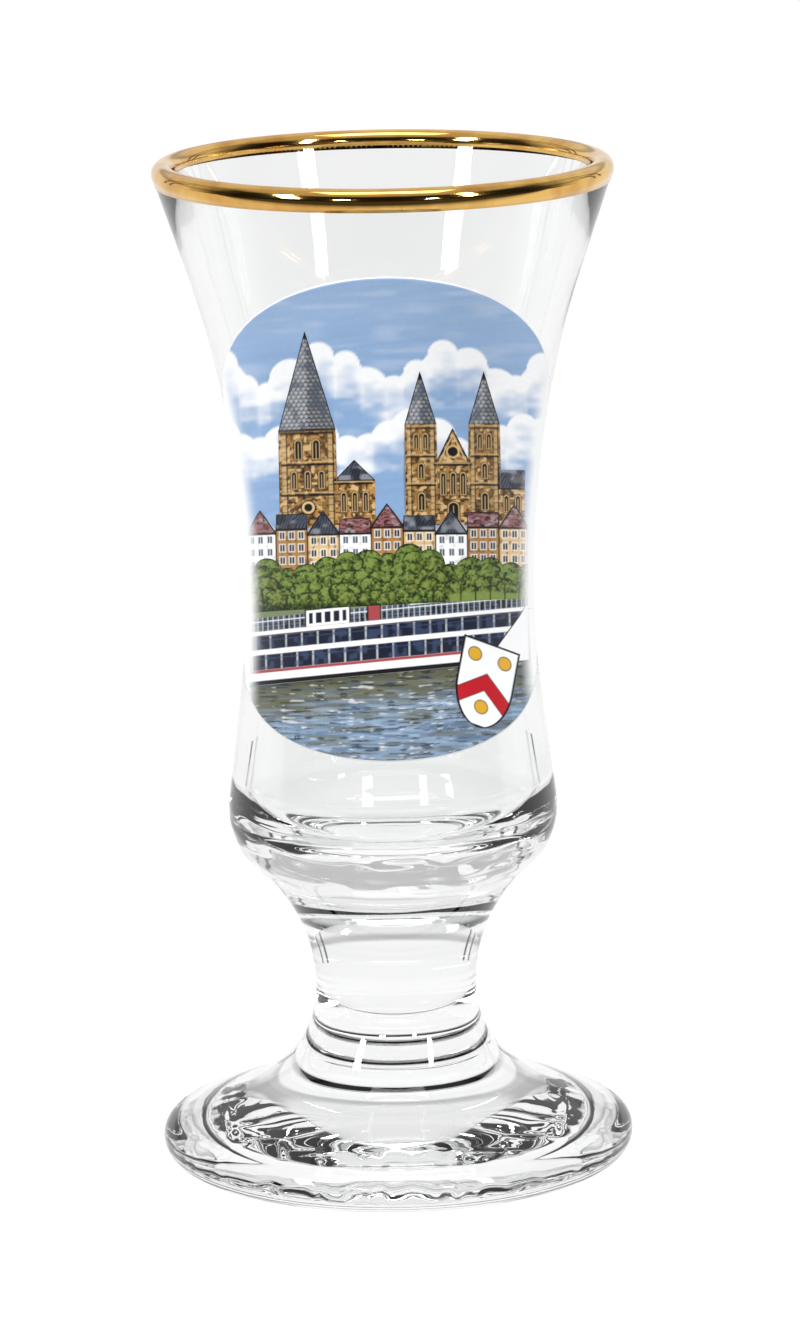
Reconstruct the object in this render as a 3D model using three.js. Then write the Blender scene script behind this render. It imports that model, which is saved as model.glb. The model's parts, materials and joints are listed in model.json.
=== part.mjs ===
// Souvenir shot glass on a short stem: blown bowl, drawn stem and pressed foot fused into one
// clear body, a fired gold rim, and a harbour-town picture printed on the bowl in enamel coats.
// Millimetres, +Z up, resting plane at z = 0, axis of the glass on the origin, picture towards -Y.
import * as THREE from 'three';
import { mergeVertices } from 'three/addons/utils/BufferGeometryUtils.js';

// ---- driving dimensions -------------------------------------------------------------------
const HEIGHT = 105;          // resting plane to the top of the gold rim
const RIM_R = 23.6;          // outside radius of the gold rim
const RIM_BEAD = 1.1;        // radius of the fire-polished bead round the mouth
const GOLD = 0.08;           // thickness of the gold skin
const GOLD_OUTSIDE = 0.8;    // how far the gold runs down the outside below the bead
const GOLD_INSIDE = 0.7;     // how far the gold runs down the inside below the bead
const WAIST_R = 14.87;       // narrowest outside radius of the bowl
const WAIST_Z = 60.1;        // height of that waist
const FLARE_BEND = 0.96;     // share of the side above the waist that is curved, not straight
const HIP_BEND = 0.72;       // the same for the side below the waist
const SHOULDER_OUT = 2.18;   // how far the shoulder swells past the waist
const SHOULDER_Z = 37.65;    // height of that widest place
const SHOULDER_ARC = 8.8;    // profile radius of the shoulder
const FLOOR_Z = 34.2;        // lowest point inside the bowl
const FLOOR_CORNER = 4.6;    // profile radius where the inside wall turns into the floor
const FLOOR_DISH = 0.9;      // how far the floor dishes below that corner
const BOWL_JOIN = 0.82;      // how far up the neck curve the bowl is fused to the stem
const STEM_R = 8.35;         // narrowest radius of the stem
const STEM_Z = 18.2;         // height of that place
const FILLET_BEND = 0.85;    // share of the sweep from stem to foot edge that is curved
const FOOT_JOIN = 0.62;      // how far down that curve the stem is fused to the foot
const FOOT_R = 24.6;         // outside radius of the foot
const FOOT_EDGE = 2.4;       // rounding under the edge of the foot
const FOOT_BROW = 2.0;       // rounding over the edge of the foot
const RING_WIDTH = 3.2;      // width of the flat ring the glass stands on
const RECESS = 1.0;          // height of the step up inside that ring
const RECESS_DOME = 0.4;     // how far the hollow rises further, from the step to the middle
const SEGMENTS = 48;         // facets round the axis, the same for every turned piece

// enamel coats: each coat lies over the one below, and all lie over the glass
const COAT = 0.08;           // thickness of one coat
const COAT_GAP = 0.06;       // clearance under each coat
const COAT_EDGE = 0.15;      // gap between neighbours in the same coat
const PICTURE_LOW = 7.95;    // bare glass between the shoulder and the picture
const PICTURE_TOP = 9.0;     // bare glass between the picture and the top of the rim
const WHITE_BORDER = 0.3;    // white left showing round the colours
const VIEW_TILT = Math.tan(THREE.MathUtils.degToRad(12.1)); // picture is drawn to be seen from above

// the transfer sheet is drawn at one size, then laid between the two bare bands round the waist
const SHEET_WAIST = 14.87;   // waist radius the sheet was drawn for
const SHEET_MID = 70.8;      // middle of the sheet, as drawn
const SHEET_HALF_V = 25.2;   // half height of the sheet
const SHEET_HALF_U = 27.5;   // half width of the sheet, along the arc of the bowl

const WALL = 2 * RIM_BEAD;
const SHOULDER_R = WAIST_R + SHOULDER_OUT;
const RING_IN_R = FOOT_R - FOOT_EDGE - RING_WIDTH;
const BEAD_R = RIM_R - GOLD - RIM_BEAD;
const BEAD_Z = HEIGHT - GOLD - RIM_BEAD;
const RIGHT = Math.PI / 2;

// ---- profile helpers ----------------------------------------------------------------------
const v2 = (x, y) => new THREE.Vector2(x, y);

// points on a circle from one angle to another, both ends included
function arc(x, z, radius, from, to, steps) {
  const out = [];
  for (let i = 0; i <= steps; i++) {
    const a = from + (to - from) * i / steps;
    out.push(v2(x + radius * Math.cos(a), z + radius * Math.sin(a)));
  }
  return out;
}

// a straight line that runs between two circles and touches both: the inner circle has its centre
// in the glass, the outer one in the air; returns the direction in which the line faces the air
function facing(inner, outer, side) {
  const dx = outer.x - inner.x;
  const dz = outer.z - inner.z;
  return Math.atan2(dz, dx) + side * Math.acos((inner.r + outer.r) / Math.hypot(dx, dz));
}

// the circles that shape the outside; x and z are centres, r radii
const bead = { x: BEAD_R, z: BEAD_Z, r: RIM_BEAD };
const shoulder = { x: SHOULDER_R - SHOULDER_ARC, z: SHOULDER_Z, r: SHOULDER_ARC };
const brow = { x: FOOT_R - FOOT_BROW, z: FOOT_EDGE, r: FOOT_BROW };

// an arc that stands upright at a narrow place and bends out towards another circle; a bend of 1
// runs on until it touches that circle, and less leaves a straight stretch between the two
function bendTowards(circle, narrowR, narrowZ, bend) {
  const a = narrowR - circle.x;
  const h = circle.z - narrowZ;
  const r = bend * (a * a + h * h - circle.r ** 2) / (2 * (circle.r - a));
  return { x: narrowR + r, z: narrowZ, r };
}
const flare = bendTowards(bead, WAIST_R, WAIST_Z, FLARE_BEND);
const hip = bendTowards(shoulder, WAIST_R, WAIST_Z, HIP_BEND);
const neck = bendTowards(shoulder, STEM_R, STEM_Z, 1);
const fillet = bendTowards(brow, STEM_R, STEM_Z, FILLET_BEND);

const mouth = facing(bead, flare, 1);
const side = facing(shoulder, hip, -1);
const slope = facing(brow, fillet, -1);
const neckEnd = Math.PI - Math.atan2(shoulder.z - neck.z, neck.x - shoulder.x);
const bowlJoin = Math.PI - BOWL_JOIN * (Math.PI - neckEnd);
const footJoin = Math.PI + FOOT_JOIN * slope;
const bowlJoinZ = neck.z + neck.r * Math.sin(bowlJoin);
const footJoinZ = fillet.z + fillet.r * Math.sin(footJoin);

// outside of the bowl from the join plane up to the bead
function bowlOutside() {
  return [
    ...arc(neck.x, neck.z, neck.r, bowlJoin, neckEnd, 3),
    ...arc(shoulder.x, shoulder.z, shoulder.r, neckEnd - Math.PI, side, 7).slice(1),
    ...arc(hip.x, hip.z, hip.r, Math.PI + side, Math.PI, 3),
    ...arc(flare.x, flare.z, flare.r, Math.PI, Math.PI + mouth, 6).slice(1),
    v2(bead.x + bead.r * Math.cos(mouth), bead.z + bead.r * Math.sin(mouth)),
  ];
}

// inside of the bowl from the bead down to the floor on the axis: one wall thickness inside the
// outer curves, then a corner that touches the wall and a shallow dish that touches the corner
function bowlInside() {
  const inHip = { ...hip, r: hip.r + WALL };
  const g = FLOOR_DISH + FLOOR_CORNER;
  const corner = { z: FLOOR_Z + g, r: FLOOR_CORNER };
  const rise = inHip.z - corner.z;
  corner.x = inHip.x - Math.sqrt((inHip.r + corner.r) ** 2 - rise ** 2);
  const dish = (corner.x ** 2 + g * g - corner.r ** 2) / (2 * FLOOR_DISH);
  const lean = Math.atan2(rise, inHip.x - corner.x);
  const turn = Math.atan2(corner.z - (FLOOR_Z + dish), corner.x);
  return [
    ...arc(flare.x, flare.z, flare.r + WALL, Math.PI + mouth, Math.PI, 6),
    ...arc(inHip.x, inHip.z, inHip.r, Math.PI, Math.PI + lean, 3).slice(1),
    ...arc(corner.x, corner.z, corner.r, lean, turn, 5).slice(1),
    ...arc(0, FLOOR_Z + dish, dish, turn, -RIGHT, 3).slice(1),
  ];
}

// ---- solids -------------------------------------------------------------------------------
function closeUp(geometry) {
  geometry.deleteAttribute('normal');
  geometry.deleteAttribute('uv');
  return mergeVertices(geometry, 1e-5);
}

function turned(points) {
  const geometry = new THREE.LatheGeometry(points, SEGMENTS);
  geometry.rotateX(RIGHT);
  return closeUp(geometry);
}

function piece(name, geometry, finish) {
  const mesh = new THREE.Mesh(geometry, new THREE.MeshStandardMaterial(finish));
  mesh.name = name;
  return mesh;
}

const glassFinish = { color: 0xe9eef2, roughness: 0.04, metalness: 0, transparent: true, opacity: 0.4 };
const enamel = (color) => ({ color, roughness: 0.35, metalness: 0 });

function bowl() {
  return turned([
    v2(0, bowlJoinZ),
    ...bowlOutside(),
    ...arc(bead.x, bead.z, bead.r, mouth, Math.PI + mouth, 8).slice(1),
    ...bowlInside(),
  ]);
}

function stem() {
  return turned([
    v2(0, footJoinZ),
    ...arc(fillet.x, fillet.z, fillet.r, footJoin, Math.PI, 5),
    ...arc(neck.x, neck.z, neck.r, Math.PI, bowlJoin, 5).slice(1),
    v2(0, bowlJoinZ),
  ]);
}

function foot() {
  const domeR = RING_IN_R - RECESS;
  const dome = (domeR ** 2 + RECESS_DOME ** 2) / (2 * RECESS_DOME);
  return turned([
    ...arc(0, RECESS + RECESS_DOME - dome, dome, RIGHT, Math.acos(domeR / dome), 4),
    ...arc(domeR, 0, RECESS, RIGHT, 0, 4).slice(1),
    ...arc(FOOT_R - FOOT_EDGE, FOOT_EDGE, FOOT_EDGE, -RIGHT, 0, 5),
    ...arc(brow.x, brow.z, brow.r, 0, slope, 4).slice(1),
    ...arc(fillet.x, fillet.z, fillet.r, Math.PI + slope, footJoin, 3),
    v2(0, footJoinZ),
  ]);
}

// gold skin wrapped over the bead, with a short skirt outside and inside
function goldRim() {
  const along = v2(Math.sin(mouth), -Math.cos(mouth));
  const skin = (offset) => {
    const over = arc(bead.x, bead.z, bead.r + offset, mouth, Math.PI + mouth, 8);
    return [
      over[0].clone().addScaledVector(along, GOLD_OUTSIDE),
      ...over,
      over[8].clone().addScaledVector(along, GOLD_INSIDE),
    ];
  };
  const outer = skin(GOLD);
  const inner = skin(0).reverse();
  return turned([...outer, ...inner, outer[0]]);
}

// ---- printed picture ----------------------------------------------------------------------
// u runs round the bowl to the right, v up the picture; both in millimetres on the glass
const skinLine = bowlOutside();

function glassRadius(z) {
  const last = skinLine.length - 1;
  let i = 1;
  while (i < last && skinLine[i].y < z) i++;
  const a = skinLine[i - 1];
  const b = skinLine[i];
  return a.x + (b.x - a.x) * (z - a.y) / (b.y - a.y);
}

// angle round the bowl for a reach of so many radii: sideways reach to 60 degrees, arc beyond
function wrapAngle(reach) {
  const turn = Math.PI / 3;
  const limit = Math.sin(turn);
  const s = Math.abs(reach);
  const a = s < limit ? Math.asin(s) : turn + (s - limit) / Math.cos(turn);
  return Math.sign(reach) * a;
}

function onGlass(u, v, lift, wrap) {
  const low = SHOULDER_Z + PICTURE_LOW;
  const high = HEIGHT - PICTURE_TOP;
  const level = (low + high) / 2 + (v - SHEET_MID) * (high - low) / (2 * SHEET_HALF_V);
  const reach = u * WAIST_R / SHEET_WAIST;
  let z = level;
  let a = 0;
  for (let k = 0; k < 6; k++) {
    const r = glassRadius(z);
    a = wrap(reach / r);
    z = level - r * (1 - Math.cos(a)) * VIEW_TILT;
  }
  const r = glassRadius(z) + lift;
  return [r * Math.sin(a), -r * Math.cos(a), z];
}

const alongArc = (reach) => reach;

// closed thin coat between a lower and an upper edge; columns are [u, low v, high v]
function coat(columns, level, rows, wrap = wrapAngle) {
  const base = (level + 1) * COAT_GAP + level * COAT;
  const points = [];
  for (const lift of [base, base + COAT]) {
    for (const [u, low, high] of columns) {
      for (let j = 0; j <= rows; j++) {
        points.push(...onGlass(u, low + (high - low) * j / rows, lift, wrap));
      }
    }
  }
  const wide = columns.length;
  const at = (side, i, j) => (side * wide + i) * (rows + 1) + j;
  const index = [];
  const quad = (a, b, c, d) => index.push(a, b, c, a, c, d);
  for (let i = 0; i + 1 < wide; i++) {
    for (let j = 0; j < rows; j++) {
      quad(at(1, i, j), at(1, i + 1, j), at(1, i + 1, j + 1), at(1, i, j + 1));
      quad(at(0, i, j), at(0, i, j + 1), at(0, i + 1, j + 1), at(0, i + 1, j));
    }
    quad(at(0, i, 0), at(0, i + 1, 0), at(1, i + 1, 0), at(1, i, 0));
    quad(at(0, i, rows), at(1, i, rows), at(1, i + 1, rows), at(0, i + 1, rows));
  }
  for (let j = 0; j < rows; j++) {
    quad(at(0, 0, j), at(1, 0, j), at(1, 0, j + 1), at(0, 0, j + 1));
    quad(at(0, wide - 1, j), at(0, wide - 1, j + 1), at(1, wide - 1, j + 1), at(1, wide - 1, j));
  }
  const geometry = new THREE.BufferGeometry();
  geometry.setAttribute('position', new THREE.Float32BufferAttribute(points, 3));
  geometry.setIndex(index);
  return geometry;
}

// evenly spaced places from one end to the other
function spaced(from, to, count) {
  return Array.from({ length: count + 1 }, (_, i) => from + (to - from) * i / count);
}

// half height of the oval picture at u, shrunk by an inset, blunt at the two ends
function ovalHalf(u, inset) {
  const w = SHEET_HALF_U - inset;
  const h = SHEET_HALF_V - inset;
  return h * Math.sqrt(Math.max(1 - (u / w) ** 2, 0.002));
}

// columns at places crowded towards the two ends of the oval
function ovalPlaces(inset, count) {
  return spaced(-RIGHT, RIGHT, count).map((t) => (SHEET_HALF_U - inset) * Math.sin(t));
}

const HORIZON_V = 61;        // bank of the river behind the boat

function whiteUnderprint() {
  const columns = ovalPlaces(0, 60).map((u) => [u, SHEET_MID - ovalHalf(u, 0), SHEET_MID + ovalHalf(u, 0)]);
  return coat(columns, 0, 12, alongArc);
}

function skyPrint() {
  const low = HORIZON_V + COAT_EDGE;
  const columns = ovalPlaces(WHITE_BORDER + 2.2, 56)
    .map((u) => [u, low, SHEET_MID + ovalHalf(u, WHITE_BORDER)]);
  return coat(columns, 1, 10, alongArc);
}

function riverPrint() {
  const reach = SHEET_HALF_U * Math.sqrt(1 - ((SHEET_MID - HORIZON_V + 1) / SHEET_HALF_V) ** 2);
  const columns = spaced(-reach, reach, 38)
    .map((u) => [u, SHEET_MID - ovalHalf(u, WHITE_BORDER), HORIZON_V]);
  return coat(columns, 1, 4, alongArc);
}

// skyline made of blocks [from, to, top] and pointed roofs [from, to, eaves, tip]
function skyline(shapes, bottom, level, rows, pitch = 0.9) {
  const height = (u) => Math.max(...shapes.map(([from, to, eaves, tip = eaves]) => {
    if (u < from || u > to) return -1;
    const half = (to - from) / 2;
    return eaves + (tip - eaves) * (1 - Math.abs(u - from - half) / half);
  }));
  const step = 0.03;
  const places = new Set();
  const first = Math.min(...shapes.map((s) => s[0]));
  const last = Math.max(...shapes.map((s) => s[1]));
  for (const [from, to] of shapes) {
    const inside = spaced(from, to, 2 * Math.ceil((to - from) / (2 * pitch)));
    for (const u of [from - step, ...inside, to + step]) {
      if (u >= first && u <= last) places.add(Math.round(u * 1000) / 1000);
    }
  }
  const columns = [...places].sort((a, b) => a - b).map((u) => [u, bottom(u), height(u)]);
  return coat(columns, level, rows);
}

const CHURCH_FOOT_V = 69.6;  // lower edge of both churches, behind the houses

function towerChurchPrint() {
  return skyline([
    [-10.6, -5.4, 80], [-10.9, -5.1, 80, 90.5], [-5.4, -1.6, 74.6], [-5.4, -1.2, 74.6, 76.8],
  ], () => CHURCH_FOOT_V, 2, 6);
}

function twinSpireChurchPrint() {
  return skyline([
    [2, 4.8, 80.4], [1.8, 5, 80.4, 86], [4.8, 8.4, 76.2, 80], [8.4, 11.2, 80.4],
    [8.2, 11.4, 80.4, 86], [11.2, 14, 75.6],
  ], () => CHURCH_FOOT_V, 2, 6);
}

const HEDGE_V = 64;          // hedge between the trees
const CROWN_COUNT = 15;
const CROWN_PITCH = 2.06;    // middle to middle of the tree crowns

// tops of the trees in front of the houses: rounded crowns, taller in the middle, over a hedge
function treeTop(u) {
  const domes = [...Array(CROWN_COUNT).keys()].map((k) => {
    const middle = (k - (CROWN_COUNT - 1) / 2) * CROWN_PITCH;
    const radius = 1.4 + 0.3 * Math.sin(2.4 * k);
    const base = 64.6 + 1.6 * Math.exp(-((middle / 6) ** 2)) + 0.5 * Math.sin(1.7 * k);
    const away = Math.min(Math.abs(u - middle) / radius, 1);
    return away < 1 ? base + radius * Math.sqrt(1 - away ** 2) : HEDGE_V;
  });
  return Math.max(HEDGE_V, ...domes);
}

const HOUSE_COUNT = 9;
const HOUSES_FROM = -14.6;   // left end of the row of houses
const HOUSES_TO = 14.4;      // right end

// houses in turn gabled and level topped
function roofsPrint() {
  const width = (HOUSES_TO - HOUSES_FROM) / HOUSE_COUNT;
  const houses = [...Array(HOUSE_COUNT).keys()].map((k) => {
    const from = HOUSES_FROM + k * width;
    const eaves = 69.6 + 0.4 * Math.sin(1.9 * k);
    return k % 2 ? [from, from + width, eaves + 1.3] : [from, from + width, eaves, eaves + 2.2];
  });
  return skyline(houses, (u) => treeTop(u) + COAT_EDGE, 3, 2, 0.25);
}

const DECK_V = 61.6;         // boat deck line at the middle of the picture
const HULL_RISE = 0.09;      // slope of the boat along the picture

function deckEdge(u) {
  return DECK_V + HULL_RISE * u * 0.4;
}

function treePrint() {
  const columns = spaced(-14.6, 14.4, 116).map((u) => [u, deckEdge(u) + COAT_EDGE, treeTop(u)]);
  return coat(columns, 3, 3);
}

function riverboatPrint() {
  const columns = spaced(-14.6, 14, 34).map((u) => {
    const keel = 55.2 + HULL_RISE * u + 1.6 * Math.max(0, (u - 8) / 6) ** 2;
    return [u, Math.min(keel, deckEdge(u) - 1.2), deckEdge(u)];
  });
  return coat(columns, 3, 3);
}

// small shield, tilted and leaning left, with a plain top and a rounded foot
function shieldPrint() {
  const half = 2.8;          // half width
  const tall = 8.4;          // top edge to foot
  const tilt = 0.38;         // fall of the top edge for every millimetre to the right
  const lean = 0.2;          // sideways step of the sides for every millimetre down
  const columns = spaced(-half - lean * tall * 0.6, half, 16).map((s) => {
    const top = Math.min(57.4 - tilt * s, 57.4 + tilt * half + (s + half) / lean);
    const right = 57.4 - tilt * half - (half - s) / lean;
    const centre = Math.min(half, Math.max(-half, s + lean * tall * 0.75));
    const foot = tall * (0.55 + 0.45 * Math.sqrt(1 - (centre / half) ** 2));
    return [10.35 + s, Math.min(Math.max(57.4 - tilt * centre - foot, right), top - 0.6), top];
  });
  return coat(columns, 4, 3);
}

// ---- assembly -----------------------------------------------------------------------------
const group = new THREE.Group();
group.name = 'shot_glass';
group.add(
  piece('bowl', bowl(), glassFinish),
  piece('stem', stem(), glassFinish),
  piece('foot', foot(), glassFinish),
  piece('gold_rim', goldRim(), { color: 0xc8952c, roughness: 0.18, metalness: 1 }),
  piece('white_underprint', whiteUnderprint(), enamel(0xf4f4f0)),
  piece('sky_print', skyPrint(), enamel(0x7aa3d2)),
  piece('river_print', riverPrint(), enamel(0x7f9fc0)),
  piece('tower_church_print', towerChurchPrint(), enamel(0xb48843)),
  piece('twin_spire_church_print', twinSpireChurchPrint(), enamel(0xa98048)),
  piece('roofs_print', roofsPrint(), enamel(0x8c5555)),
  piece('tree_print', treePrint(), enamel(0x5a7d32)),
  piece('riverboat_print', riverboatPrint(), enamel(0x25365c)),
  piece('shield_print', shieldPrint(), enamel(0xbe1423)),
);

export default group;
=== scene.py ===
"""Stemmed souvenir shot glass: clear body, fired gold rim and a printed harbour-town picture.

Shapes are surfaces of revolution or grids laid on them, worked out with numpy in millimetres and
turned into metres when the mesh is made. The axis of the glass is +Z and the picture faces -Y.
"""
import json
import logging
import math
from dataclasses import dataclass
from enum import Enum
from typing import Callable, Optional

import bpy
import numpy as np
from mathutils import Matrix, Vector

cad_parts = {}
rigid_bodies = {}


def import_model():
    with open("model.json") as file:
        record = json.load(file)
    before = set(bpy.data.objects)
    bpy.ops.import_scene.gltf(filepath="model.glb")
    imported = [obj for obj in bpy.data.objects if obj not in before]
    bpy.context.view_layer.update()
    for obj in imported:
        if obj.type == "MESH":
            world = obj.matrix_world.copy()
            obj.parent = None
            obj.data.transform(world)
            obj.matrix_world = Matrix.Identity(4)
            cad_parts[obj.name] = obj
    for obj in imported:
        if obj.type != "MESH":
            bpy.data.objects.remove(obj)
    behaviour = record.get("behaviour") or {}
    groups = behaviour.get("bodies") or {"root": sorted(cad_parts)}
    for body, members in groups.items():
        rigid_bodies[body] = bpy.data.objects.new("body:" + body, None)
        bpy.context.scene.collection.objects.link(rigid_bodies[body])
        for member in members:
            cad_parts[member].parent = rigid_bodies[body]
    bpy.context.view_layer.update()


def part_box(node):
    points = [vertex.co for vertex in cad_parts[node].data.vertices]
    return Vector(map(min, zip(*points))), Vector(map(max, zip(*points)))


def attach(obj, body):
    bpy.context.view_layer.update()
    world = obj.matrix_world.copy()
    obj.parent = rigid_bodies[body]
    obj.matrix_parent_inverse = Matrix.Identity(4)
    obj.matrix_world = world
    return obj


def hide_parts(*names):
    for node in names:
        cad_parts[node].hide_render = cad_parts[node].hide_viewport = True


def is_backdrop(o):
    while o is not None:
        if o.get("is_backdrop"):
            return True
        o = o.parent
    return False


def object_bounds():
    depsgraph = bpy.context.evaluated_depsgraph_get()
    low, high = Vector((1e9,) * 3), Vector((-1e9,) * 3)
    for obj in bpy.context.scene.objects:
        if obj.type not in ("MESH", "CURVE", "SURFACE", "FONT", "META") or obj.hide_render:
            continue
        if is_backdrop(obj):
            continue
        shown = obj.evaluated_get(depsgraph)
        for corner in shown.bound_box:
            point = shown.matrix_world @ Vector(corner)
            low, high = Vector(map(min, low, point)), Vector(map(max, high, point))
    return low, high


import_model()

LOG = logging.getLogger("shot_glass")
Array = np.ndarray
MM = 0.001


# ---- numbers and colour --------------------------------------------------------------------
def linear(red: float, green: float, blue: float) -> Array:
    """Turn a display colour of 0 to 255 into linear light.

    Args:
        red: red of the display colour.
        green: green of the display colour.
        blue: blue of the display colour.

    Returns:
        The three linear values, by the usual display curve.
    """
    c = np.array([red, green, blue], float) / 255.0
    return np.where(c <= 0.04045, c / 12.92, ((c + 0.055) / 1.055) ** 2.4)


def smooth(low: float, high: float, x: Array) -> Array:
    """Smooth step: 0 below low, 1 above high, and 3t^2 - 2t^3 between."""
    t = np.clip((x - low) / (high - low), 0.0, 1.0)
    return t * t * (3 - 2 * t)


def mottle(u: Array, v: Array, seed: int) -> Array:
    """Soft random patches, one per unit of u and v.

    Args:
        u: first coordinate, in patches.
        v: second coordinate, in patches.
        seed: which random lattice to use.

    Returns:
        Values from 0 to 1: a random lattice of 64 by 64, blended smoothly between its corners.
    """
    lattice = np.random.default_rng(seed).random((64, 64))
    iu, iv = np.floor(u).astype(int), np.floor(v).astype(int)
    fu, fv = u - iu, v - iv
    fu, fv = fu * fu * (3 - 2 * fu), fv * fv * (3 - 2 * fv)
    a, b = iu % 64, iv % 64
    c, d = (iu + 1) % 64, (iv + 1) % 64
    low = lattice[a, b] * (1 - fu) + lattice[c, b] * fu
    high = lattice[a, d] * (1 - fu) + lattice[c, d] * fu
    return low * (1 - fv) + high * fv


# ---- profile of the glass ------------------------------------------------------------------
@dataclass(frozen=True)
class Circle:
    """A circle in the profile plane: x and z of its centre and its radius r."""

    x: float
    z: float
    r: float

    def arc(self, start: float, end: float, steps: int) -> Array:
        """Points along the circle from one angle to another, both ends included."""
        a = np.linspace(start, end, steps + 1)
        return np.stack([self.x + self.r * np.cos(a), self.z + self.r * np.sin(a)], axis=1)


def facing(inner: Circle, outer: Circle, side: int) -> float:
    """Direction in which a straight wall faces the air, touching a circle on each side of it."""
    dx, dz = outer.x - inner.x, outer.z - inner.z
    return math.atan2(dz, dx) + side * math.acos((inner.r + outer.r) / math.hypot(dx, dz))


def bend_towards(circle: Circle, narrow_r: float, narrow_z: float, bend: float) -> Circle:
    """Circle of the arc that is upright at a narrow place and bends out towards another circle.

    With h the height between and a the step inwards, the arc that just touches has radius
    (a^2 + h^2 - r^2) / (2 (r - a)), and bend is the share of that radius taken.
    """
    a, h = narrow_r - circle.x, circle.z - narrow_z
    r = bend * (a * a + h * h - circle.r**2) / (2 * (circle.r - a))
    return Circle(narrow_r + r, narrow_z, r)


@dataclass
class Outline:
    """The turned outline of the glass, in millimetres, from the boxes of the CAD nodes."""

    height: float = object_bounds()[1][2] / MM
    rim_r: float = float(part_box("gold_rim")[1][0]) / MM
    foot_r: float = float(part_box("foot")[1][0]) / MM
    bead_r: float = 1.1
    gold: float = 0.08
    waist_r: float = 14.87
    waist_z: float = 60.1
    flare_bend: float = 0.96
    hip_bend: float = 0.72
    shoulder_out: float = 2.18
    shoulder_z: float = 37.65
    shoulder_arc: float = 8.8
    floor_z: float = 34.2
    floor_corner: float = 4.6
    floor_dish: float = 0.9
    stem_r: float = 8.35
    stem_z: float = 18.2
    fillet_bend: float = 0.85
    foot_edge: float = 2.4
    foot_brow: float = 2.0
    ring_width: float = 3.2
    recess: float = 1.0
    recess_dome: float = 0.4

    def __post_init__(self) -> None:
        """Place the circles that shape the outline."""
        self.wall = 2 * self.bead_r
        self.bead = Circle(self.rim_r - self.gold - self.bead_r,
                           self.height - self.gold - self.bead_r, self.bead_r)
        self.shoulder = Circle(self.waist_r + self.shoulder_out - self.shoulder_arc,
                               self.shoulder_z, self.shoulder_arc)
        self.brow = Circle(self.foot_r - self.foot_brow, self.foot_edge, self.foot_brow)
        self.flare = bend_towards(self.bead, self.waist_r, self.waist_z, self.flare_bend)
        self.hip = bend_towards(self.shoulder, self.waist_r, self.waist_z, self.hip_bend)
        self.neck = bend_towards(self.shoulder, self.stem_r, self.stem_z, 1.0)
        self.fillet = bend_towards(self.brow, self.stem_r, self.stem_z, self.fillet_bend)
        self.mouth = facing(self.bead, self.flare, 1)
        self.side = facing(self.shoulder, self.hip, -1)
        self.slope = facing(self.brow, self.fillet, -1)
        self.skin = self.bowl_skin()

    def bowl_skin(self) -> Array:
        """Outside of the bowl and neck, from the narrowest place of the stem up to the bead."""
        end = math.pi - math.atan2(self.shoulder.z - self.neck.z, self.neck.x - self.shoulder.x)
        return np.vstack([
            self.neck.arc(math.pi, end, 30),
            self.shoulder.arc(end - math.pi, self.side, 30)[1:],
            self.hip.arc(math.pi + self.side, math.pi, 14),
            self.flare.arc(math.pi, math.pi + self.mouth, 34)[1:],
            self.bead.arc(self.mouth, self.mouth, 0),
        ])

    def foot_skin(self) -> Array:
        """From the middle of the hollow under the foot, round its edge and up to the stem."""
        dome_r = self.foot_r - self.foot_edge - self.ring_width - self.recess
        dome = (dome_r**2 + self.recess_dome**2) / (2 * self.recess_dome)
        hollow = Circle(0.0, self.recess + self.recess_dome - dome, dome)
        step = Circle(dome_r, 0.0, self.recess)
        edge = Circle(self.foot_r - self.foot_edge, self.foot_edge, self.foot_edge)
        return np.vstack([
            hollow.arc(math.pi / 2, math.acos(dome_r / dome), 48),
            step.arc(math.pi / 2, 0.0, 8)[1:],
            edge.arc(-math.pi / 2, 0.0, 10),
            self.brow.arc(0.0, self.slope, 8)[1:],
            self.fillet.arc(math.pi + self.slope, math.pi, 30),
        ])

    def inside(self) -> Array:
        """Inside of the bowl from the bead down to the middle of the floor."""
        hip = Circle(self.hip.x, self.hip.z, self.hip.r + self.wall)
        flare = Circle(self.flare.x, self.flare.z, self.flare.r + self.wall)
        g = self.floor_dish + self.floor_corner
        z = self.floor_z + g
        x = hip.x - math.sqrt((hip.r + self.floor_corner) ** 2 - (hip.z - z) ** 2)
        corner = Circle(x, z, self.floor_corner)
        r = (x * x + g * g - corner.r**2) / (2 * self.floor_dish)
        dish = Circle(0.0, self.floor_z + r, r)
        turn = math.atan2(z - dish.z, x)
        lean = math.atan2(hip.z - z, hip.x - x)
        return np.vstack([
            flare.arc(math.pi + self.mouth, math.pi, 30),
            hip.arc(math.pi, math.pi + lean, 12)[1:],
            corner.arc(lean, turn, 16)[1:],
            dish.arc(turn, -math.pi / 2, 24)[1:],
        ])

    def whole(self) -> Array:
        """The closed outline of the fused glass, from under the foot to the bowl's floor."""
        bead = self.bead.arc(self.mouth, math.pi + self.mouth, 14)[1:]
        return np.vstack([self.foot_skin(), self.skin[1:], bead, self.inside()[1:]])

    def gold_band(self, outside: float, inside: float) -> Array:
        """Closed outline of the gold skin, with a skirt outside and inside below the bead."""
        down = np.array([math.sin(self.mouth), -math.cos(self.mouth)])
        over = Circle(self.bead.x, self.bead.z, self.bead.r + self.gold)
        outer = over.arc(self.mouth, math.pi + self.mouth, 28)
        inner = self.bead.arc(math.pi + self.mouth, self.mouth, 28)
        outer = np.vstack([outer[0] + down * outside, outer, outer[-1] + down * inside])
        inner = np.vstack([inner[0] + down * inside, inner, inner[-1] + down * outside])
        return np.vstack([outer, inner])

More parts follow.
